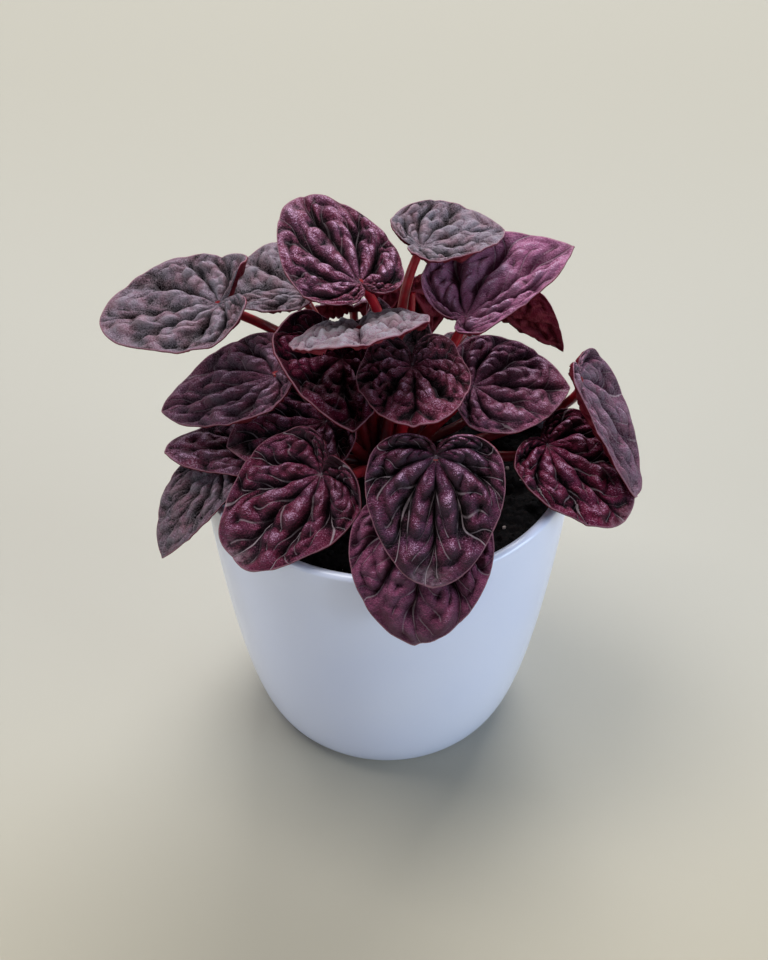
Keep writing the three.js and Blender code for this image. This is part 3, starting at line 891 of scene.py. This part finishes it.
# %% Build the crown and join the petioles to it
CROWN_SIZE = np.array([10.6, 10.6, 13.2])
CROWN_CENTRE = np.array([0, 0, 103])
CROWN_LUMPS = 0.16

stalks = [draw_petiole(leaf) for leaf in BLADES]
select_only()
bpy.ops.mesh.primitive_uv_sphere_add(segments=56, ring_count=30, radius=1)
crown = bpy.context.object
ball = read_points(crown.data)
lumps = np.array([noise.noise(Vector(point) * 3.1) for point in ball])
shaped = ball * (1 + CROWN_LUMPS * lumps[:, None]) * CROWN_SIZE + CROWN_CENTRE
write_points(crown.data, shaped * MM)
select_only(crown, *stalks)
bpy.ops.object.join()
print("crown and petioles, points:", len(crown.data.vertices))

# %% [markdown]
# ## The petioles' flesh
#
# A petiole is watery and half clear, so light goes a little way in and comes
# out a brighter red. Subsurface scattering with a red radius gives that glow. A
# thin skin with low roughness gives the narrow highlight, and faint mottling
# keeps the red from looking painted. The foot near the soil is darker.

# %% Petiole material
DARK_RUBY = (0.200, 0.004, 0.010)
BRIGHT_RUBY = (0.380, 0.012, 0.022)
FOOT_RED = (0.055, 0.008, 0.010)

petiole_flesh, tree, shader = new_material("ruby_petiole")
mottle = grain(tree, 3.0, 3.0)
red = blend_colours(tree, remap(tree, mottle, 0.3, 0.7), DARK_RUBY, BRIGHT_RUBY)
place = add_node(tree, "ShaderNodeTexCoord").outputs["Object"]
high = add_node(tree, "ShaderNodeSeparateXYZ", {0: place}).outputs["Z"]
near_soil = remap(tree, high, 118 * MM, 134 * MM, 0.75, 0.0)
red = blend_colours(tree, near_soil, red, FOOT_RED)
tree.links.new(red, shader.inputs["Base Color"])
shader.inputs["Roughness"].default_value = 0.30
shader.inputs["Subsurface Weight"].default_value = 0.25
shader.inputs["Subsurface Radius"].default_value = (1.0, 0.15, 0.10)
shader.inputs["Subsurface Scale"].default_value = 1.2 * MM
add_bump(tree, shader, grain(tree, 0.7), 0.05, 0.5)
finish_piece(crown, "petioles_and_crown", petiole_flesh, ["crown_with_petioles"])

# %% [markdown]
# ## The pot
#
# The pot was thrown on a wheel, so it is drawn the same way: a disc for the
# base, whose rim is pulled up ring by ring and widened or narrowed at each
# step. The outside is a rounded foot that grows steeper towards the thin lip;
# the inside follows it one wall's thickness further in, down to the floor.

# %% Pull up the wall
POT_HEIGHT = 120
RIM_RADIUS = 65
BASE_RADIUS = 44
POT_WALL = 3.6
POT_FLOOR = 6
LIP = POT_WALL / 2
FLOOR_ROUNDING = 3
INSIDE_FOOT = POT_FLOOR + 2
INNER_RING = 20
POT_SIDES = 168
OUTSIDE_RINGS = 30
LIP_RINGS = 12
INSIDE_RINGS = 20
# The oval's two exponents, and how far the rings crowd together at the foot.
OVAL_ACROSS = 1.18
OVAL_UP = 1.98
OUTSIDE_CROWDING = 1.7
INSIDE_CROWDING = 1.5


def pot_radius(height_mm):
    """The outside, a flattened oval's quarter from the base to the rim."""
    share = 1 - min(height_mm, POT_HEIGHT) / POT_HEIGHT
    widening = (1 - share ** OVAL_ACROSS) ** (1 / OVAL_UP)
    return BASE_RADIUS + (RIM_RADIUS - BASE_RADIUS) * widening


def pot_rings():
    """Radius and height of each ring, up the outside, over the lip and down inside."""
    for step in range(1, OUTSIDE_RINGS + 1):
        level = (POT_HEIGHT - LIP) * (step / OUTSIDE_RINGS) ** OUTSIDE_CROWDING
        yield pot_radius(level), level
    for step in range(1, LIP_RINGS):
        turn = math.pi * step / LIP_RINGS
        yield RIM_RADIUS - LIP + LIP * math.cos(turn), POT_HEIGHT - LIP + LIP * math.sin(turn)
    for step in range(INSIDE_RINGS, 0, -1):
        share = (step / INSIDE_RINGS) ** INSIDE_CROWDING
        level = INSIDE_FOOT + (POT_HEIGHT - LIP - INSIDE_FOOT) * share
        yield pot_radius(level) - POT_WALL, level
    yield pot_radius(POT_FLOOR) - POT_WALL - FLOOR_ROUNDING, POT_FLOOR
    yield INNER_RING, POT_FLOOR


# %% Two steps on the wheel, shared by the pot and the soil
def pull_rings(radius, level, rings):
    """Pulls the selected open ring of edges up or down to each new ring."""
    for new_radius, new_level in rings:
        lift = (0, 0, (new_level - level) * MM)
        bpy.ops.mesh.extrude_edges_move(TRANSFORM_OT_translate={"value": lift})
        factor = new_radius / radius
        bpy.ops.transform.resize(value=(factor, factor, 1), center_override=(0, 0, new_level * MM))
        radius, level = new_radius, new_level


def close_body():
    bpy.ops.mesh.edge_face_add()
    bpy.ops.mesh.select_all(action="SELECT")
    bpy.ops.mesh.normals_make_consistent(inside=False)
    bpy.ops.object.mode_set(mode="OBJECT")


# %% Throw the pot
select_only()
bpy.ops.mesh.primitive_circle_add(vertices=POT_SIDES, radius=BASE_RADIUS * MM, fill_type="NGON")
pot = bpy.context.object
bpy.ops.object.mode_set(mode="EDIT")
bpy.ops.mesh.select_all(action="SELECT")
bpy.ops.mesh.flip_normals()
bpy.ops.mesh.select_mode(type="EDGE")
bpy.ops.mesh.select_all(action="SELECT")
pull_rings(BASE_RADIUS, 0.0, pot_rings())
close_body()
pot_points = read_points(pot.data)
print("pot points:", len(pot_points), "height, mm:", round(pot_points[:, 2].max() / MM, 2))

# %% [markdown]
# ## The glaze
#
# The glaze is white with a cool, faintly lilac cast, smooth and glossy like
# porcelain. Its shine is the room's reflection: a clear coat over a slightly
# softer body. The tone drifts a little over the wall, and the surface is not
# quite even, so the reflections bend softly.

# %% Glaze material
COOL_WHITE = (0.67, 0.74, 0.97)
LIGHT_WHITE = (0.74, 0.80, 0.99)

glaze, tree, shader = new_material("white_glaze")
drift = grain(tree, 60.0, 1.0)
white = blend_colours(tree, remap(tree, drift, 0.3, 0.7), COOL_WHITE, LIGHT_WHITE)
tree.links.new(white, shader.inputs["Base Color"])
shader.inputs["Roughness"].default_value = 0.32
shader.inputs["Coat Weight"].default_value = 0.5
shader.inputs["Coat Roughness"].default_value = 0.06
add_bump(tree, shader, grain(tree, 22.0, 1.0), 0.4, 0.25)
finish_piece(pot, "glazed_pot", glaze, ["pot"])

# %% [markdown]
# ## The soil
#
# Potting soil is peat: nearly black, crumbly and lumpy. One dense disc carries
# the lumps, and loose crumbs lie on it. A square grid squeezed into a circle
# has even faces all over, which a fan of triangles has not. Its edge is then
# pulled down along the pot's wall as the pot's wall was pulled up, and closed,
# so that the soil is a full body.

# %% The soil's body
SOIL_TOP = 109
SOIL_DROP = 2.4
SOIL_GAP = 0.6
SOIL_EDGE = pot_radius(SOIL_TOP) - POT_WALL - SOIL_GAP
SOIL_GRID = 150
SOIL_LEVELS = (96, 78, 58, 40, 25, 14, 8)
# Each size of lumps: height in mm, lumps to the mm, seed.
SOIL_LUMPS = [(1.1, 0.22, 3.0), (0.9, 0.62, 7.0), (0.5, 1.5, 1.0)]


def soil_level(x, y):
    """The lumpy top: a lower edge, slow waves, and three sizes of lumps."""
    share = min(1.0, math.hypot(x, y) / SOIL_EDGE)
    level = SOIL_TOP - SOIL_DROP * share ** 6
    level += 0.6 * math.sin(0.31 * x + 1.3) * math.cos(0.27 * y) + 0.5 * math.sin(0.43 * y - 0.2 * x)
    for lump, pace, seed in SOIL_LUMPS:
        level += lump * noise.noise(Vector((x * pace, y * pace, seed)))
    return level


select_only()
bpy.ops.mesh.primitive_grid_add(x_subdivisions=SOIL_GRID, y_subdivisions=SOIL_GRID, size=2)
soil = bpy.context.object
square = read_points(soil.data)
round_x = square[:, 0] * np.sqrt(1 - square[:, 1] ** 2 / 2) * SOIL_EDGE
round_y = square[:, 1] * np.sqrt(1 - square[:, 0] ** 2 / 2) * SOIL_EDGE
levels = [soil_level(x, y) for x, y in zip(round_x, round_y)]
write_points(soil.data, np.stack([round_x, round_y, levels], axis=1) * MM)

bpy.ops.object.mode_set(mode="EDIT")
bpy.ops.mesh.select_all(action="SELECT")
bpy.ops.mesh.region_to_loop()
inner_rings = [(pot_radius(level) - POT_WALL - SOIL_GAP, level) for level in SOIL_LEVELS]
pull_rings(SOIL_EDGE, SOIL_TOP - SOIL_DROP, inner_rings)
close_body()
print("soil points:", len(soil.data.vertices))

# %% [markdown]
# ## Crumbs and perlite
#
# One crumb is modelled from a small ball with its points pushed about. Copies
# of it, turned and scaled by seeded chance, lie half sunk all over the soil.
# The same is done with fewer and paler grains of perlite, the puffed white
# stone that keeps potting soil airy. A handful of them lies in the open at the
# front right, where they catch the eye.

# %% Shape and turn one grain
def grain_shape(seed, subdivisions):
    """Points and faces of a lumpy ball with a radius of about one."""
    select_only()
    bpy.ops.mesh.primitive_ico_sphere_add(subdivisions=subdivisions, radius=1)
    ball = bpy.context.object
    points = read_points(ball.data)
    push = [0.42 * noise.noise(Vector(p) * 1.7 + Vector((seed, 0, 0))) for p in points]
    push = np.array(push) + [0.2 * noise.noise(Vector(p) * 4.2 + Vector((0, seed, 0))) for p in points]
    points = points * (1 + push[:, None])
    faces = np.array([list(face.vertices) for face in ball.data.polygons])
    bpy.data.objects.remove(ball)
    return points, faces


def turned_about(points, rng):
    spin, tip = rng.uniform(0, 2 * math.pi), rng.uniform(0, math.pi)
    c, s, a, b = math.cos(spin), math.sin(spin), math.cos(tip), math.sin(tip)
    about_z = np.array([[c, -s, 0], [s, c, 0], [0, 0, 1]])
    about_x = np.array([[1, 0, 0], [0, a, -b], [0, b, a]])
    return points @ about_z.T @ about_x.T


# %% Scatter grains
SHAPES = 4
FIELD_HALF = 58
CROWN_ROOM = 12
WALL_ROOM = 0.8
MOSTLY_SMALL = 2.6


def scatter(name, places, seed, subdivisions):
    """One mesh of grains. places holds (x, y, radius, sunk share) in millimetres."""
    rng = random.Random(seed)
    shapes = [grain_shape(seed + 3.7 * n, subdivisions) for n in range(SHAPES)]
    all_points, all_faces, count = [], [], 0
    for x, y, size, sunk in places:
        points, faces = rng.choice(shapes)
        points = turned_about(points, rng) * size * np.array([1, 1, rng.uniform(0.65, 0.95)])
        all_points.append(points + np.array([x, y, soil_level(x, y) + size * (0.7 - sunk)]))
        all_faces.append(faces + count)
        count += len(points)
    mesh = bpy.data.meshes.new(name)
    mesh.from_pydata((np.concatenate(all_points) * MM).tolist(), [], np.concatenate(all_faces).tolist())
    mesh.validate()
    scattered = bpy.data.objects.new(name, mesh)
    bpy.context.scene.collection.objects.link(scattered)
    return scattered


def random_places(count, seed, low, high):
    """Places all over the soil but for the crown's foot; most grains are small."""
    rng = random.Random(seed)
    places = []
    while len(places) < count:
        x, y = rng.uniform(-FIELD_HALF, FIELD_HALF), rng.uniform(-FIELD_HALF, FIELD_HALF)
        size = low + (high - low) * rng.random() ** MOSTLY_SMALL
        if CROWN_ROOM < math.hypot(x, y) < SOIL_EDGE - WALL_ROOM - size:
            places.append((x, y, size, rng.uniform(0.3, 0.7)))
    return places


# %% Lay the crumbs and the perlite
OPEN_PERLITE = [
    (33.0, -49.3, 2.1, 0.25), (36.0, -47.9, 1.0, 0.25), (38.5, -44.5, 0.55, 0.3),
    (36.6, -42.2, 0.6, 0.3), (40.5, -42.0, 0.45, 0.3), (42.5, -38.0, 0.5, 0.3),
    (44.5, -33.0, 0.55, 0.3), (39.5, -29.0, 0.7, 0.3), (-20.0, -53.2, 0.55, 0.3),
    (-9.0, -56.0, 0.4, 0.3), (-14.5, -49.0, 0.35, 0.3), (-27.0, -47.0, 0.4, 0.3),
]
crumbs = scatter("soil_crumbs", random_places(620, 11, 0.5, 2.0), 5, 2)
perlite = scatter("perlite", OPEN_PERLITE + random_places(34, 23, 0.4, 1.3), 8, 2)
print("crumbs and perlite, points:", len(crumbs.data.vertices), len(perlite.data.vertices))

# %% [markdown]
# ## Soil and perlite materials
#
# Peat swallows light: the colour is near black with some brown bits, and the
# roughness is full. Bump gives the fibres that are too fine for the mesh.
# Perlite is chalky and off-white with a pinkish cast and small dark pits.

# %% Soil materials
PEAT_BLACK = (0.0035, 0.0030, 0.0040)
PEAT_BROWN = (0.022, 0.015, 0.013)
PIT_GREY = (0.25, 0.19, 0.18)
CHALK_WHITE = (0.62, 0.52, 0.50)

peat, tree, shader = new_material("peat")
bits = grain(tree, 1.6, 4.0, 0.7)
brown = blend_colours(tree, remap(tree, bits, 0.50, 0.72), PEAT_BLACK, PEAT_BROWN)
tree.links.new(brown, shader.inputs["Base Color"])
shader.inputs["Roughness"].default_value = 0.95
shader.inputs["Specular IOR Level"].default_value = 0.25
add_bump(tree, shader, grain(tree, 0.8, 4.0, 0.7), 0.5, 0.9)

chalk, tree, shader = new_material("perlite_stone")
pits = grain(tree, 0.6, 2.0)
chalky = blend_colours(tree, remap(tree, pits, 0.35, 0.6), PIT_GREY, CHALK_WHITE)
tree.links.new(chalky, shader.inputs["Base Color"])
shader.inputs["Roughness"].default_value = 0.9
add_bump(tree, shader, pits, 0.2, 0.6)

finish_piece(soil, "soil_body", peat, ["potting_soil"])
finish_piece(crumbs, "soil_crumbs", peat)
finish_piece(perlite, "perlite", chalk)

# %% [markdown]
# The box round the dressed pieces is printed at the end, in millimetres.

# %% Print the box of the dressed pieces
low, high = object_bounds()
print("visual box, mm:", [round(x / MM, 1) for x in (*low, *high)])
